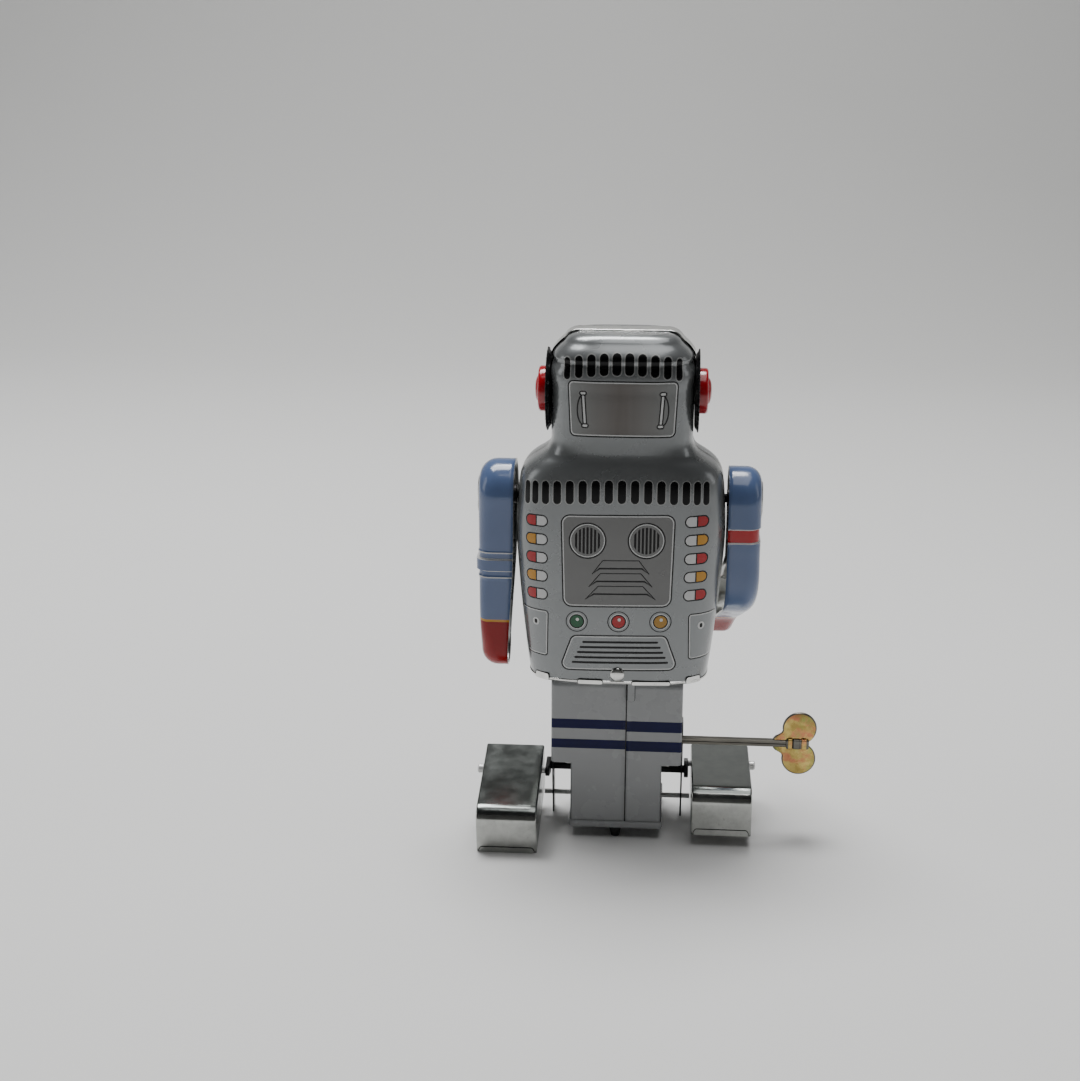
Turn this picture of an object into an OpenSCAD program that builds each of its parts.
// Wind-up walking robot in pressed tin.
// Front faces -Y, the robot's left is +X, the floor is z = 0.
// The toy stands on its rest peg and two side legs; the feet hang on the crank.

/* [Body] */
// Height of the crown of the head above the floor
crown_z = 190; // [185:0.5:195]
// Height of the lower edge of the torso shells
torso_z = 62.6; // [61:0.1:63.5]
// Tin thickness of the two body shells
shell_t = 0.8; // [0.6:0.1:1]
// Height of the arms' pivot
shoulder_z = 128.5; // [127:0.5:130]
// Diameter of the toothed discs behind the ears
ear_disc_d = 30.6; // [28:0.2:31]
// Diameter of the red ear dials
ear_dial_d = 16.6; // [15:0.2:18]

/* [Chest window] */
// Width of the clear window
window_w = 34; // [30:1:36]
// Height of the clear window
window_h = 28; // [24:1:30]
// Height of the window's centre
window_z = 104; // [102:1:106]

/* [Arms] */
// Distance from the middle plane to the arms' open side
arm_in = 38.9; // [38.8:0.1:41]
// Distance from the middle plane to the arms' outer face
arm_out = 52.2; // [51.5:0.1:53]
// Tin thickness of the arms
arm_t = 0.8; // [0.6:0.1:1]

/* [Leg casing] */
// Width of the casing's upper part
case_w = 48.6; // [48:0.2:49]
// Width of the casing's lower part
case_low_w = 34; // [33:0.5:35]
// Height at which the casing steps in
step_z = 30; // [29:0.5:31]
// Height of the casing's lower edge
case_z = 4.8; // [4.6:0.1:5]
// Tin thickness of the casing
case_t = 0.7; // [0.6:0.1:0.8]

/* [Feet] */
// Width of a foot
foot_w = 22.4; // [21:0.2:23]
// Length of a foot
foot_l = 44; // [42:0.5:46]
// Height of a foot
foot_h = 17.8; // [17:0.1:18]
// Distance from the middle plane to a foot's inner wall
foot_in = 28.4; // [28.2:0.1:29]
// Distance from the heel to the crank pin
pin_back = 31.5; // [30:0.5:33]
// Height of the crank pin above a foot's open edge
pin_up = 15; // [14.6:0.1:15]
// Toe-up pitch of the left foot
left_pitch = 12; // [8:1:14]

/* [Crank and key] */
// Throw of the crank
crank_throw = 7.6; // [7:0.1:7.7]
// Angle of the left crank pin above the horizontal
crank_angle = 7; // [0:1:20]
// Length of the winding key beyond the casing
key_reach = 50; // [45:1:52]
// Radius of each wing of the key
wing_r = 6.4; // [5.5:0.1:7]

/* [Clockwork] */
// Module of the upper train
mod_2 = 0.6; // [0.58:0.01:0.6]
// Distance from the middle plane to a motor plate's inner face
plate_x = 11.5; // [11.4:0.1:12]

/* [Hidden] */

seam = 0.3;                       // gap between the front and back shells
notch_r = 2.4;                    // half height of the seam's opening at the shoulder axle
gap = 0.05;                       // radial clearance of a running fit

// Body outline: height, half width, half depth
STATIONS = [
    [torso_z, 32.9, 20.6], [68, 33.7, 21.1], [76, 34.7, 21.5], [84, 35.6, 21.8],
    [window_z - window_h / 2 - 0.4, 36.2, 22], [97, 36.9, 22.1], [105, 37.5, 22.3],
    [112, 38, 22.4], [window_z + window_h / 2 + 0.4, 38.2, 22.5], [124, 38.1, 22.5],
    [shoulder_z - notch_r, 38, 22.5], [shoulder_z, 37.8, 22.5], [shoulder_z + notch_r, 37.6, 22.5],
    [135.5, 37.2, 22.4], [139.3, 36.4, 22], [142, 34.8, 21.2], [144.3, 32.1, 20.4],
    [146, 29.3, 19.7], [147.7, 27.1, 19.2], [150, 25.9, 19.1], [156, 25.6, 19.1],
    [162, 25.6, 19.4], [170, 25.7, 19.7], [178, 25.6, 19.6], [181.5, 25.1, 19.1],
    [184, 23.9, 18], [185.8, 22.2, 16.5], [187, 20.8, 15.3], [188.2, 20, 14.5],
    [189.2, 18.6, 13.3], [crown_z, 16, 11]
];
SIDE_STEPS = 26;                  // points round each half of the body
LAST = len(STATIONS) - 1;
CROWN_ROW = 24;                   // first of the rows that close in to the flat crown
NO_HOLE = [0, 0, 0, 0];           // rows and columns of the shell's grid left open: from, to
WINDOW_HOLE = [4, 8, 11, 15];
CORNER = 3.6;                     // squareness of the body's cross-section

crank_y = -0.3;
left_pin = crank_throw * [cos(crank_angle), sin(crank_angle)];
// The left foot's heel just reaches the floor
crank_z = pin_back * sin(left_pitch) + pin_up * cos(left_pitch) - left_pin[1];
CRANK = [crank_y, crank_z];
rod_drop = 11.1;                  // the guide rod's distance below the crank axle
rod_z = crank_z - rod_drop;
key_pos = [5, 34.75];
key_w = 2.6;                      // the key's square shaft
crank_to_key = norm(key_pos - CRANK);
crank_n = 15;
great_n = 30;
mod_1 = 2 * crank_to_key / (crank_n + great_n);
pinion_n = 12;
wheel_n = 30;

function polar(r, a) = [r * cos(a), r * sin(a)];
function heading(p, q) = atan2(q[1] - p[1], q[0] - p[0]);
// Phase that puts gear n2 in mesh with gear n1 when n1's own phase is ph
function meshed(ph, n1, n2, a) = a + 180 + 360 / n2 * (0.5 - (ph - a) * n1 / 360);

second_dir = 104;
second_pos = key_pos + polar(mod_1 * (great_n + pinion_n) / 2, second_dir);
governor_dir = 150;
governor_pos = second_pos + polar(mod_2 * (wheel_n + pinion_n) / 2, governor_dir);
idler_low = second_pos + polar(mod_2 * wheel_n, 90);
idler_high = idler_low + polar(mod_2 * wheel_n, 90);
spark_pos = idler_high + polar(mod_2 * (wheel_n + pinion_n) / 2, 90);
crank_dir = heading(CRANK, key_pos);
great_ph = meshed(0, crank_n, great_n, crank_dir);
second_ph = meshed(great_ph, great_n, pinion_n, second_dir);
governor_ph = meshed(0, wheel_n, pinion_n, governor_dir);
low_ph = meshed(0, wheel_n, wheel_n, 90);
high_ph = meshed(low_ph, wheel_n, wheel_n, 90);
spark_ph = meshed(high_ph, wheel_n, pinion_n, 90);
PILLARS = [[-10.5, 11.5], [12, 12], [-8, 104], [9.5, 104]];
pillar_r = 1.6;
axle_r = 1.5;
pin_r = 1.15;
rod_r = 0.95;
arbor_r = 2;
shaft_r = 1;

case_front = -17;
case_back = 19;
case_split = -3.5;                // the casing's back seam, right of the middle
peg_y = 16.5;
leg_x = case_w / 2 + 0.05;
leg_t = 0.6;
arm_crank_x = leg_x + leg_t + 0.65;
crank_t = 1.6;
foot_t = 0.8;
heel_r = 4.2;

// ---------------------------------------------------------------- helpers

// Turns a drawing in the YZ plane (x to Y, y to Z) into a slab from x0 to x1
module slab(x0, x1) {
    translate([x0, 0, 0]) rotate([90, 0, 90]) linear_extrude(x1 - x0) children();
}

module rod_x(p, r, x0, x1) {
    translate([x0, p[0], p[1]]) rotate([0, 90, 0]) cylinder(h = x1 - x0, r = r, $fn = 48);
}

module left_or_right(side) {
    if (side > 0) children(); else mirror([1, 0, 0]) children();
}

// Two circles and the band between their outer tangents, in two dimensions
module capsule(p, r1, q, r2) {
    d = norm(q - p);
    a = heading(p, q);
    b = acos((r1 - r2) / d);
    translate(p) circle(r1, $fn = 64);
    translate(q) circle(r2, $fn = 64);
    polygon([p + polar(r1, a + b), p + polar(r1, a - b), q + polar(r2, a - b), q + polar(r2, a + b)]);
}

function tooth_ring(n, m, ph, k) =
    let (r = n * m / 2, a = 360 / n)
    [for (c = [[-1.2, -0.28], [0, -0.21], [0.85, -0.1], [0.85, 0.1], [0, 0.21], [-1.2, 0.28]])
        polar(r + c[0] * m, ph + (k + c[1]) * a)];

// Toothed wheel with a bore, spanning x0 to x1
module gear(pos, n, m, ph, bore, x0, x1) {
    slab(x0, x1) translate(pos) difference() {
        polygon([for (k = [0:n - 1]) each tooth_ring(n, m, ph, k)]);
        circle(bore, $fn = 48);
    }
}

function power(v, e) = sign(v) * pow(abs(v), e);

// Half of a cross-section: points from +X round the back to -X
function half_ring(s, inset, notch) =
    [for (j = [0:SIDE_STEPS])
        let (t = 180 * j / SIDE_STEPS, a = s[1] - inset, b = s[2] - inset,
             y = b * power(sin(t), 2 / CORNER))
        [a * power(cos(t), 2 / CORNER), seam / 2 + notch + y * (b - notch) / b, s[0]]];

// The seam opens round the shoulder axle
function notch_at(z) = abs(z - shoulder_z) < 0.1 ? notch_r : 0;

function outer_rings() = [for (s = STATIONS) half_ring(s, 0, notch_at(s[0]))];
function inner_rings() =
    [for (i = [0:LAST])
        let (s = STATIONS[i], crown = i >= CROWN_ROW)
        half_ring([s[0] - (crown ? shell_t : 0), s[1], s[2]], shell_t * (crown ? 0.6 : 1),
                  notch_at(s[0]))];

// Shell between two grids of points; quads in the hole's index range are left out
module half_shell(hole) {
    n = SIDE_STEPS + 1;
    rows = LAST + 1;
    pts = [each [for (r = outer_rings()) each r], each [for (r = inner_rings()) each r]];
    function o(i, j) = i * n + j;
    function q(i, j) = rows * n + i * n + j;
    function open(i, j) = i >= hole[0] && i < hole[1] && j >= hole[2] && j < hole[3];
    skin = [for (i = [0:LAST - 1]) for (j = [0:SIDE_STEPS - 1]) if (!open(i, j))
        each [[o(i, j), o(i + 1, j), o(i + 1, j + 1)], [o(i, j), o(i + 1, j + 1), o(i, j + 1)],
              [q(i, j), q(i + 1, j + 1), q(i + 1, j)], [q(i, j), q(i, j + 1), q(i + 1, j + 1)]]];
    bottom = [for (j = [0:SIDE_STEPS - 1])
        each [[o(0, j), o(0, j + 1), q(0, j + 1)], [o(0, j), q(0, j + 1), q(0, j)]]];
    sides = [for (i = [0:LAST - 1])
        each [[o(i, 0), q(i, 0), q(i + 1, 0)], [o(i, 0), q(i + 1, 0), o(i + 1, 0)],
              [o(i, n - 1), q(i + 1, n - 1), q(i, n - 1)],
              [o(i, n - 1), o(i + 1, n - 1), q(i + 1, n - 1)]]];
    top = [for (j = [1:SIDE_STEPS - 1])
        each [[o(LAST, 0), o(LAST, j + 1), o(LAST, j)], [q(LAST, 0), q(LAST, j), q(LAST, j + 1)]]];
    crown = [[o(LAST, 0), q(LAST, 0), q(LAST, n - 1)], [o(LAST, 0), q(LAST, n - 1), o(LAST, n - 1)]];
    rim = hole[1] <= hole[0] ? [] : concat(
        [for (j = [hole[2]:hole[3] - 1]) each [
            [o(hole[0], j), q(hole[0], j + 1), o(hole[0], j + 1)],
            [o(hole[0], j), q(hole[0], j), q(hole[0], j + 1)],
            [o(hole[1], j), o(hole[1], j + 1), q(hole[1], j + 1)],
            [o(hole[1], j), q(hole[1], j + 1), q(hole[1], j)]]],
        [for (i = [hole[0]:hole[1] - 1]) each [
            [o(i, hole[2]), o(i + 1, hole[2]), q(i + 1, hole[2])],
            [o(i, hole[2]), q(i + 1, hole[2]), q(i, hole[2])],
            [o(i, hole[3]), q(i + 1, hole[3]), o(i + 1, hole[3])],
            [o(i, hole[3]), q(i, hole[3]), q(i + 1, hole[3])]]]);
    polyhedron(pts, concat(skin, bottom, sides, top, crown, rim), convexity = 6);
}

// Half width and half depth of the body at height z
function body_at(z) = [lookup(z, [for (s = STATIONS) [s[0], s[1]]]),
                       lookup(z, [for (s = STATIONS) [s[0], s[2]]])];

// ---------------------------------------------------------------- body shells

module back_shell() {
    color("silver") half_shell(NO_HOLE);
}

module front_shell() {
    color("silver") mirror([0, 1, 0]) half_shell(WINDOW_HOLE);
}

band_z = 162;                     // lower ends of the head band
band_back = 3.2;
band_w = 9;
band_off = 0.25;                  // the band's inner and outer faces, out from the head
band_out = 0.9;

// Outline of the head in the XZ plane, grown by g
function head_side(g) =
    [for (i = [0:LAST]) let (s = STATIONS[i]) if (s[0] >= band_z)
        [s[1] + g, s[0] + (i > CROWN_ROW + 1 ? g * 0.8 : 0)]];

module head_band() {
    up = head_side(band_out);
    low = head_side(band_off);
    color("gainsboro") translate([0, band_back, 0]) rotate([90, 0, 0]) linear_extrude(band_w)
        polygon(concat(up, [for (k = [len(up) - 1:-1:0]) [-up[k][0], up[k][1]]],
                       [for (p = low) [-p[0], p[1]]], [for (k = [len(low) - 1:-1:0]) low[k]]));
}

ear_z = 168.2;
ear_x = 27.4;
ear_disc_t = 0.6;

module ear_disc(side) {
    teeth = 36;
    r = ear_disc_d / 2;
    color("dimgray") left_or_right(side) slab(ear_x - ear_disc_t, ear_x) translate([0, ear_z]) difference() {
        polygon([for (k = [0:teeth * 2 - 1]) polar(k % 2 == 0 ? r : r - 1, 180 * k / teeth)]);
        circle(2, $fn = 32);
    }
}

// Dial with a raised rim, a recessed face and a domed middle
module ear_dial(side) {
    r = ear_dial_d / 2;
    color("firebrick") left_or_right(side) translate([ear_x + 0.02, 0, ear_z]) rotate([0, 90, 0])
        rotate_extrude($fn = 64) polygon(concat(
            [[0, 0], [r, 0], [r, 2.4], [r - 0.8, 3.2], [r - 2.2, 3.2], [r - 2.8, 2.3]],
            [for (a = [0:15:90]) [4.6 * cos(a), 2.3 + 2.1 * sin(a)]]));
}

eye_x = 10.4;
eye_z = 173.5;
face_y = -19.9;

module eye_rims() {
    color("gold") for (s = [-1, 1]) translate([s * eye_x, face_y, eye_z]) rotate([90, 0, 0])
        difference() {
            cylinder(h = 1.5, r = 6.2, $fn = 64);
            translate([0, 0, -1]) cylinder(h = 4, r = 4.6, $fn = 64);
        }
}

module eye_lenses() {
    color("red") for (s = [-1, 1]) translate([s * eye_x, face_y, eye_z]) rotate([90, 0, 0])
        rotate_extrude($fn = 64) polygon(concat([[0, 0], [4.5, 0]],
            [for (a = [0:15:90]) [4.5 * cos(a), 0.8 + 1.8 * sin(a)]]));
}

module mouth_grille() {
    color("darkgray") translate([0, face_y, 160.2]) difference() {
        translate([-11, -1.3, -3.6]) cube([22, 1.3, 7.2]);
        for (k = [-4:4]) translate([k * 2.2 - 0.6, -2, -2.6]) cube([1.2, 3, 5.2]);
    }
}

frame_y = -body_at(window_z)[1] - seam / 2 - 0.25;
frame_w = 4;                      // width and thickness of the window's frame
frame_t = 1.6;

module chest_frame() {
    color("goldenrod") translate([0, frame_y, window_z]) rotate([90, 0, 0]) difference() {
        translate([-window_w / 2 - frame_w, -window_h / 2 - frame_w])
            cube([window_w + 2 * frame_w, window_h + 2 * frame_w, frame_t]);
        translate([-window_w / 2, -window_h / 2, -1]) cube([window_w, window_h, 4]);
        for (x = [-1, 0, 1]) for (z = [-1, 1])
            translate([x * (window_w + frame_w) / 2, z * (window_h + frame_w) / 2, frame_t - 0.4])
                cylinder(h = 2, r = 0.7, $fn = 24);
    }
}

module chest_window() {
    color("red", 0.6) translate([0, frame_y, window_z]) rotate([90, 0, 0])
        translate([-window_w / 2 + 0.1, -window_h / 2 + 0.1, 0.1])
            cube([window_w - 0.2, window_h - 0.2, 1]);
}

// Closed cross-section of the body for flat plates
function section(a, b) = [for (t = [0:7.5:352.5])
    [a * power(cos(t), 2 / CORNER), b * power(sin(t), 2 / CORNER)]];

module torso_base() {
    a = body_at(torso_z + 1)[0] - shell_t - 0.3;
    b = body_at(torso_z + 1)[1] - shell_t - 0.1;
    color("silver") translate([0, 0, torso_z]) difference() {
        linear_extrude(1.2) polygon(section(a, b));
        translate([-14, -13, -1]) cube([28, 27, 4]);
    }
}

rivet_z = 66.6;
rivet_r = 2.6;

// The rivets' flat backs clear the shells, which lean outwards above them
module base_rivets() {
    y = body_at(rivet_z + rivet_r)[1] + seam / 2 + 0.02;
    color("white") for (s = [-1, 1]) translate([0, s * y, rivet_z]) rotate([-90 * s, 0, 0])
        rotate_extrude($fn = 48) polygon(concat([[0, 0], [rivet_r, 0]],
            [for (a = [0:15:90]) [rivet_r * cos(a), 0.3 + 0.9 * sin(a)]]));
}

// Along the shoulder axle, outwards: spacer, the arm's hub, rivet
shoulder_r = 1.6;
spacer_x = 38.5;
hub_x = 41.5;
hub_t = 0.8;
rivet_x = 42.4;
rivet_l = 1.6;

module shoulder_axle() {
    end = rivet_x + 1.1;
    color("lightslategray") rod_x([0, shoulder_z], shoulder_r, -end, end);
}

module arm_spacers() {
    color("lightslategray") for (s = [-1, 1]) left_or_right(s)
        translate([spacer_x, 0, shoulder_z]) rotate([0, 90, 0]) difference() {
            cylinder(h = hub_x - spacer_x - 0.1, r = 3.4, $fn = 48);
            translate([0, 0, -1]) cylinder(h = 5, r = shoulder_r, $fn = 48);
        }
}

// ---------------------------------------------------------------- arms

SHOULDER = [0, shoulder_z];
bent_less = 1.2;                  // the bent arm is this much shallower

// Limb segment with round ends, in two dimensions
module limb(p, r1, q, r2) {
    hull() {
        translate(p) circle(r1, $fn = 56);
        translate(q) circle(r2, $fn = 56);
    }
}

module straight_arm(inset) {
    limb(SHOULDER + [0, 0.8], 12.4 - inset, [0.4, 103], 8.9 - inset);
    limb([0.4, 103], 8.9 - inset, [-1, 79], 7.8 - inset);
    limb([-1, 79], 7.8 - inset, [-2.4, 69.2], 8.2 - inset);
}

module bent_arm(inset) {
    limb(SHOULDER, 12 - inset, [0.6, 97], 10.5 - inset);
    limb([0.6, 97], 10.5 - inset, [-25, 79.6], 7.6 - inset);
    limb([-25, 79.6], 7.6 - inset, [-33, 73.4], 8.4 - inset);
}

module arm_left() {
    color("lightsteelblue") difference() {
        slab(arm_in, arm_out) straight_arm(0);
        slab(arm_in - 1, arm_out - arm_t) straight_arm(arm_t);
    }
}

module arm_right() {
    color("lightsteelblue") mirror([1, 0, 0]) difference() {
        slab(arm_in, arm_out - bent_less) bent_arm(0);
        slab(arm_in - 1, arm_out - bent_less - arm_t) bent_arm(arm_t);
    }
}

// Tin disc across the shoulder that carries the arm on its axle
module arm_hub(side) {
    color("silver") left_or_right(side) slab(hub_x, hub_x + hub_t) translate(SHOULDER) difference() {
        circle(10.9, $fn = 64);
        circle(shoulder_r + gap, $fn = 48);
    }
}

module shoulder_rivet(side) {
    color("silver") left_or_right(side) translate([rivet_x, 0, shoulder_z]) rotate([0, 90, 0])
        difference() {
            cylinder(h = rivet_l, r1 = 3.4, r2 = 2.6, $fn = 48);
            translate([0, 0, -1]) cylinder(h = 2.1, r = shoulder_r, $fn = 48);
        }
}

// ---------------------------------------------------------------- leg casing

module casing_outline(inset, cut) {
    w = case_w / 2 - inset;
    v = case_low_w / 2 - inset;
    polygon([[-v, case_z - cut], [v, case_z - cut], [v, step_z + inset], [w, step_z + inset],
             [w, torso_z - 0.05 + cut], [-w, torso_z - 0.05 + cut], [-w, step_z + inset],
             [-v, step_z + inset]]);
}

// Extrudes an XZ drawing from y0 back to y1
module deep(y0, y1) {
    translate([0, y1, 0]) rotate([90, 0, 0]) linear_extrude(y1 - y0) children();
}

module casing() {
    difference() {
        deep(case_front, case_back) casing_outline(0, 0);
        deep(case_front + case_t, case_back - case_t) casing_outline(case_t, 1);
        rod_x(CRANK, axle_r + 0.3, -30, 30);
        rod_x([crank_y, rod_z], rod_r, -30, 30);
        rod_x(key_pos, 2.5, -30, 0);
    }
}

module casing_left() {
    color("whitesmoke") intersection() {
        casing();
        translate([case_split, -30, 0]) cube([60, 60, 80]);
    }
}

module casing_right() {
    color("whitesmoke") intersection() {
        casing();
        translate([case_split - 0.1 - 60, -30, 0]) cube([60, 60, 80]);
    }
}

tray_t = 0.6;
tray_z = case_z - 0.9;

// Tray that the casing stands in
module casing_floor() {
    w = case_low_w / 2 + gap;
    color("whitesmoke") difference() {
        translate([-w - tray_t, case_front - gap - tray_t, tray_z])
            cube([2 * (w + tray_t), case_back - case_front + 2 * (gap + tray_t), 3]);
        translate([-w, case_front - gap, case_z - gap])
            cube([2 * w, case_back - case_front + 2 * gap, 4]);
    }
}

module rest_peg() {
    color("black") translate([0, peg_y, 0]) cylinder(h = tray_z, r1 = 1.6, r2 = 2.3, $fn = 48);
}

// Strip from the casing's side, past the crank axle and in front of the key, down to the floor
module side_leg(side) {
    back = key_pos[0] - norm([key_w, key_w]) / 2 - 0.3;
    bend = crank_z - 3;
    color("dimgray") left_or_right(side) difference() {
        slab(leg_x, leg_x + leg_t)
            polygon([[-5, 40], [back, 40], [back, bend], [-1.2, 0], [-8.2, 0], [-5, bend]]);
        rod_x(CRANK, axle_r + gap, 0, 40);
        rod_x([crank_y, rod_z], rod_r, 0, 40);
    }
}

module guide_rod() {
    color("silver") rod_x([crank_y, rod_z], rod_r, -foot_in + 0.4, foot_in - 0.4);
}

// ---------------------------------------------------------------- clockwork

module motor_plate(side) {
    color("lightgray") left_or_right(side) difference() {
        slab(plate_x, plate_x + 0.8) polygon([[-13, 8], [15, 8], [15, 52], [11.5, 58],
            [11.5, 107], [-10.5, 107], [-10.5, 62], [-13.5, 58], [-13, 40]]);
        rod_x(CRANK, axle_r + gap, 0, 20);
        rod_x([crank_y, rod_z], rod_r, 0, 20);
        rod_x(key_pos, arbor_r + gap, 0, 20);
        for (p = [second_pos, governor_pos, idler_low, idler_high, spark_pos])
            rod_x(p, shaft_r + gap, 0, 20);
    }
}

module motor_pillars() {
    color("silver") for (p = PILLARS) rod_x(p, pillar_r, -plate_x, plate_x);
}

// Coiled strip round the arbor
module mainspring() {
    turns = 6;
    strip = 0.45;
    per_turn = 20;
    r0 = 2.7;
    rise = 1.05;
    steps = turns * per_turn;
    coil = [for (k = [0:steps]) [r0 + rise * k / per_turn, 360 * k / per_turn]];
    color("steelblue") slab(-4.5, 5.5) translate(key_pos) polygon(concat(
        [for (c = coil) polar(c[0], c[1])],
        [for (k = [steps:-1:0]) polar(coil[k][0] + strip, coil[k][1])]));
}

spark_r = 8;
flint_l = 4.2;

module flint_arm() {
    top = spark_pos[1] + spark_r + flint_l + 0.2;
    color("goldenrod") slab(-2, 2) polygon([[-0.6, top], [12, top], [12, 106], [12.6, 106],
                                            [12.6, top + 0.6], [-0.6, top + 0.6]]);
}

module flint() {
    color("gray") translate([0, spark_pos[0], spark_pos[1] + spark_r + 0.15])
        cylinder(h = flint_l, r = 1.2, $fn = 32);
}

module ratchet_wheel() {
    n = 14;
    color("goldenrod") slab(-7.5, -6.6) translate(key_pos) difference() {
        polygon([for (k = [0:n - 1]) each [polar(4.4, 360 * k / n), polar(5.6, 360 * k / n)]]);
        circle(arbor_r, $fn = 48);
    }
}

module winding_arbor() {
    color("silver") rod_x(key_pos, arbor_r, arbor_end, plate_x + 1.4);
}

click_pos = key_pos + polar(8.3, 60);
click_r = 0.7;                    // the click's pivot

module great_wheel() {
    color("gold") {
        gear(key_pos, great_n, mod_1, great_ph, arbor_r + gap, -9, -8);
        rod_x(click_pos, click_r, -8, -6.4);
    }
}

module click() {
    color("silver") slab(-7.6, -6.7) difference() {
        capsule(click_pos, 1.5, key_pos + polar(6.2, 22), 0.45);
        translate(click_pos) circle(click_r + gap, $fn = 32);
    }
}

module click_spring() {
    color("goldenrod") slab(-8, -7.4) translate(key_pos)
        polygon([polar(9.6, 8), polar(9.6, 14), polar(9.6, 20), polar(9.6, 26), polar(9.6, 31),
                 polar(9.1, 31), polar(9.1, 20), polar(9.1, 8)]);
}

module shaft(p) {
    rod_x(p, shaft_r, -plate_x - 1.1, plate_x + 1.1);
}

module second_wheel() {
    color("gold") gear(second_pos, wheel_n, mod_2, 0, shaft_r, 8, 9);
}

module second_pinion() {
    color("silver") {
        gear(second_pos, pinion_n, mod_1, second_ph, 0.5, -9.4, -7.7);
        shaft(second_pos);
    }
}

module governor_pinion() {
    color("silver") {
        gear(governor_pos, pinion_n, mod_2, governor_ph, 0.5, 7.6, 9.4);
        shaft(governor_pos);
    }
}

module governor_flywheel() {
    color("goldenrod") difference() {
        rod_x(governor_pos, 5.2, -2, 2);
        rod_x(governor_pos, shaft_r, -3, 3);
    }
}

module idler_wheel_lower() {
    color("gold") {
        gear(idler_low, wheel_n, mod_2, low_ph, 0.5, 8, 9);
        shaft(idler_low);
    }
}

module idler_wheel_upper() {
    color("gold") {
        gear(idler_high, wheel_n, mod_2, high_ph, 0.5, 8, 9);
        shaft(idler_high);
    }
}

module spark_pinion() {
    color("silver") {
        gear(spark_pos, pinion_n, mod_2, spark_ph, 0.5, 7.6, 9.4);
        shaft(spark_pos);
    }
}

module spark_wheel() {
    color("darkslategray") difference() {
        rod_x(spark_pos, spark_r, -2, 2);
        rod_x(spark_pos, shaft_r, -3, 3);
    }
}

// ---------------------------------------------------------------- key

key_end = -case_w / 2 - key_reach;
hub_end = key_end + 2.2;          // the hub's outer end, closed over the shaft's
key_cap = 0.2;
HUB = [8.6, 4, 4.4];
arbor_end = -22;

module key_shaft() {
    color("dimgray") translate([hub_end + key_cap, key_pos[0] - key_w / 2, key_pos[1] - key_w / 2])
        cube([arbor_end - hub_end - key_cap, key_w, key_w]);
}

module key_hub() {
    color("tan") translate([hub_end, key_pos[0], key_pos[1]]) difference() {
        translate([0, -HUB[1] / 2, -HUB[2] / 2]) cube(HUB);
        translate([key_cap, -key_w / 2, -key_w / 2]) cube([12, key_w, key_w]);
    }
}

// Butterfly wings in the XZ plane, one above and one below the shaft
module key_wings() {
    wing_t = 1.2;
    color("khaki") difference() {
        translate([0, key_pos[0] + wing_t / 2, 0]) rotate([90, 0, 0]) linear_extrude(wing_t) {
            for (s = [-1, 1]) translate([key_end + 5.8, key_pos[1] + s * 6.1]) circle(wing_r, $fn = 64);
            translate([key_end + 0.6, key_pos[1] - 3.4]) square([12.6, 6.8]);
        }
        translate([key_end - 3, key_pos[0] - HUB[1] / 2, key_pos[1] - HUB[2] / 2])
            cube([20, HUB[1], HUB[2]]);
    }
}

// ---------------------------------------------------------------- crank and feet

module crank_axle() {
    color("dimgray") rod_x(CRANK, axle_r, -arm_crank_x - crank_t, arm_crank_x + crank_t);
}

module crank_pinion() {
    color("silver") gear(CRANK, crank_n, mod_1, 0, axle_r, -9.5, -7.5);
}

module crank_arm(side) {
    pin = CRANK + side * left_pin;
    color("dimgray") left_or_right(side) slab(arm_crank_x, arm_crank_x + crank_t) difference() {
        capsule(CRANK, 3.2, pin, 2.1);
        translate(CRANK) circle(axle_r, $fn = 48);
        translate(pin) circle(pin_r, $fn = 48);
    }
}

module crank_pin(side) {
    color("silver") left_or_right(side)
        rod_x(CRANK + side * left_pin, pin_r, arm_crank_x, foot_in + foot_w + 2.3);
}

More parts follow.
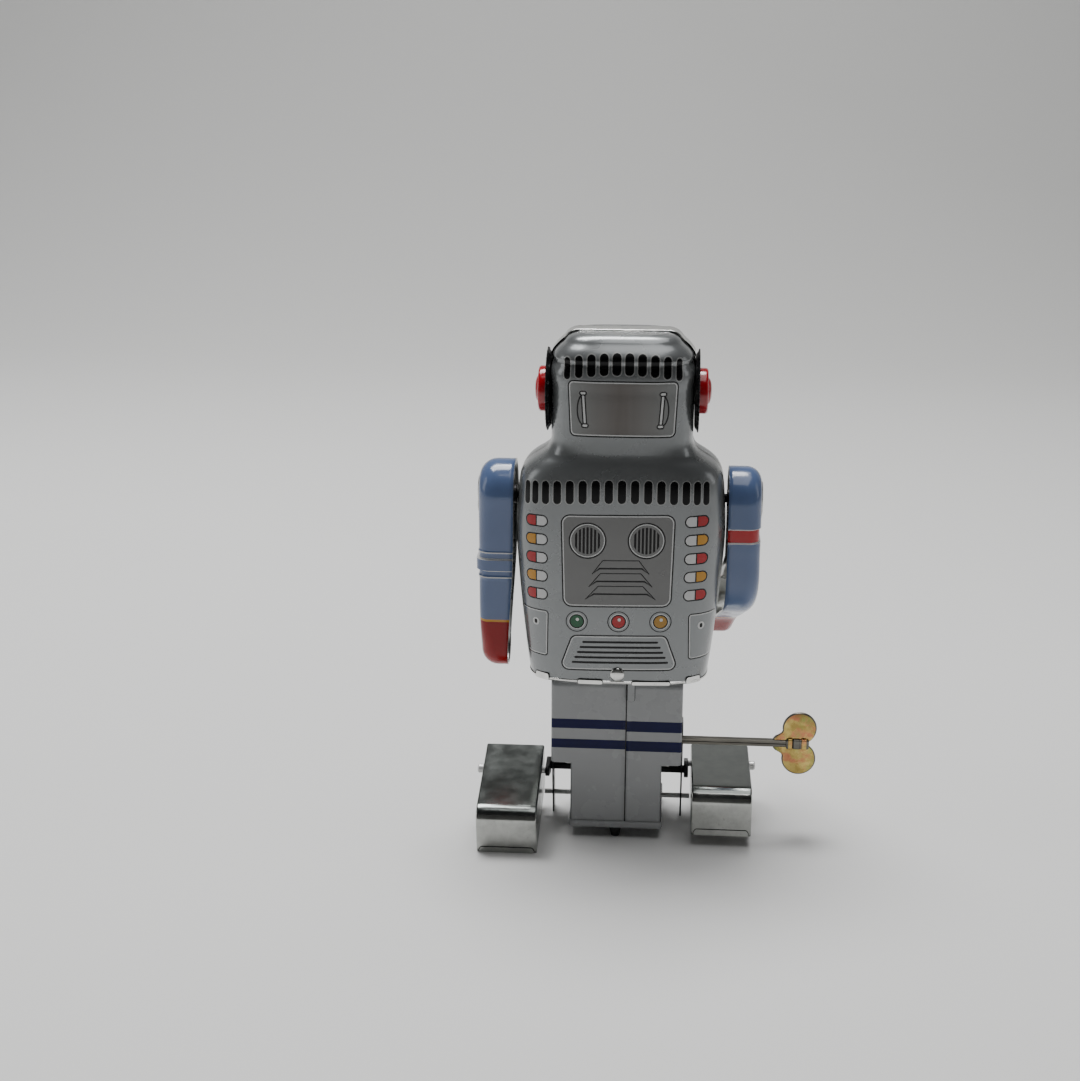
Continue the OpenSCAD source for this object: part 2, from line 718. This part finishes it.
// Side view of a foot with the pin at the origin; heel towards +Y, open edge down
module foot_side(inset) {
    heel = pin_back - inset;
    toe = pin_back - foot_l + inset;
    top = foot_h - pin_up - inset;
    low = -pin_up - (inset > 0 ? 1 : 0);
    r = heel_r - inset;
    translate([heel - r, top - r]) circle(r, $fn = 64);
    translate([toe, low]) square([heel - toe - r, top - low]);
    translate([toe, low]) square([heel - toe, top - r - low]);
}

module foot(side, pitch) {
    pin = CRANK + side * left_pin;
    color("silver") left_or_right(side) difference() {
        slab(foot_in, foot_in + foot_w) translate(pin) rotate(-pitch) foot_side(0);
        slab(foot_in + foot_t, foot_in + foot_w - foot_t)
            translate(pin) rotate(-pitch) foot_side(foot_t);
        rod_x(pin, pin_r + gap, 20, 60);
    }
}

back_shell();
front_shell();
head_band();
ear_disc(1);  // ear_disc_left
ear_disc(-1);  // ear_disc_right
ear_dial(1);  // ear_dial_left
ear_dial(-1);  // ear_dial_right
eye_rims();
eye_lenses();
mouth_grille();
chest_frame();
chest_window();
torso_base();
base_rivets();
shoulder_axle();
arm_spacers();
casing_left();
casing_right();
casing_floor();
rest_peg();
side_leg(1);  // side_leg_left
side_leg(-1);  // side_leg_right
guide_rod();
motor_plate(1);  // motor_plate_left
motor_plate(-1);  // motor_plate_right
motor_pillars();
mainspring();
flint_arm();
flint();
arm_left();
arm_right();
arm_hub(1);  // arm_hub_left
arm_hub(-1);  // arm_hub_right
shoulder_rivet(1);  // shoulder_rivet_left
shoulder_rivet(-1);  // shoulder_rivet_right
key_wings();
key_hub();
key_shaft();
winding_arbor();
ratchet_wheel();
great_wheel();
click();
click_spring();
crank_axle();
crank_pinion();
crank_arm(1);  // crank_arm_left
crank_arm(-1);  // crank_arm_right
crank_pin(1);  // crank_pin_left
crank_pin(-1);  // crank_pin_right
foot(1, left_pitch);  // foot_left
foot(-1, 0);  // foot_right
second_wheel();
second_pinion();
governor_pinion();
governor_flywheel();
idler_wheel_lower();
idler_wheel_upper();
spark_pinion();
spark_wheel();
